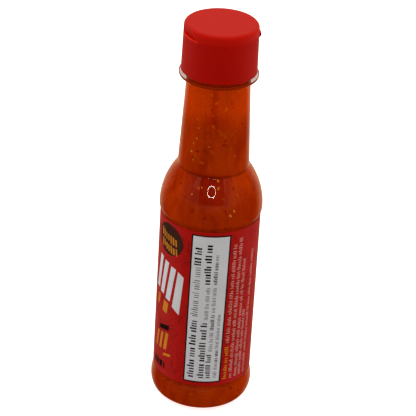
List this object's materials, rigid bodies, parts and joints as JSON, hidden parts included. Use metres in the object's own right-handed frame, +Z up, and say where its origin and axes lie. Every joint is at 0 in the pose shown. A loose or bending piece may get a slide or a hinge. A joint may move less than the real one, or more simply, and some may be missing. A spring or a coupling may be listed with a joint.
{
  "type": "hot sauce bottle",
  "caption": "Slim clear bottle of red hot sauce with a tapered neck, a domed shoulder, a full-wrap red label and a red flip-top cap, standing upright.",
  "frame": {"origin": "on the bottle's axis, in the plane of the standing ring", "axes": "+Z up along the bottle's axis; -Y is the side that the label's facts panel faces, nearly; +X is to the right of that side as seen from it"},
  "size_m": [0.0422, 0.0422, 0.1688],
  "materials": {
    "clear_pet": "clear, glossy, blow moulded",
    "sauce": "wet, slightly cloudy, with pulp",
    "label_film": "printed film, satin",
    "red_polypropylene": "satin, injection moulded"
  },
  "bodies": {
    "root": {"bottle": "clear_pet", "sauce": "sauce", "label": "label_film", "cap": "red_polypropylene"}
  },
  "joints": []
}
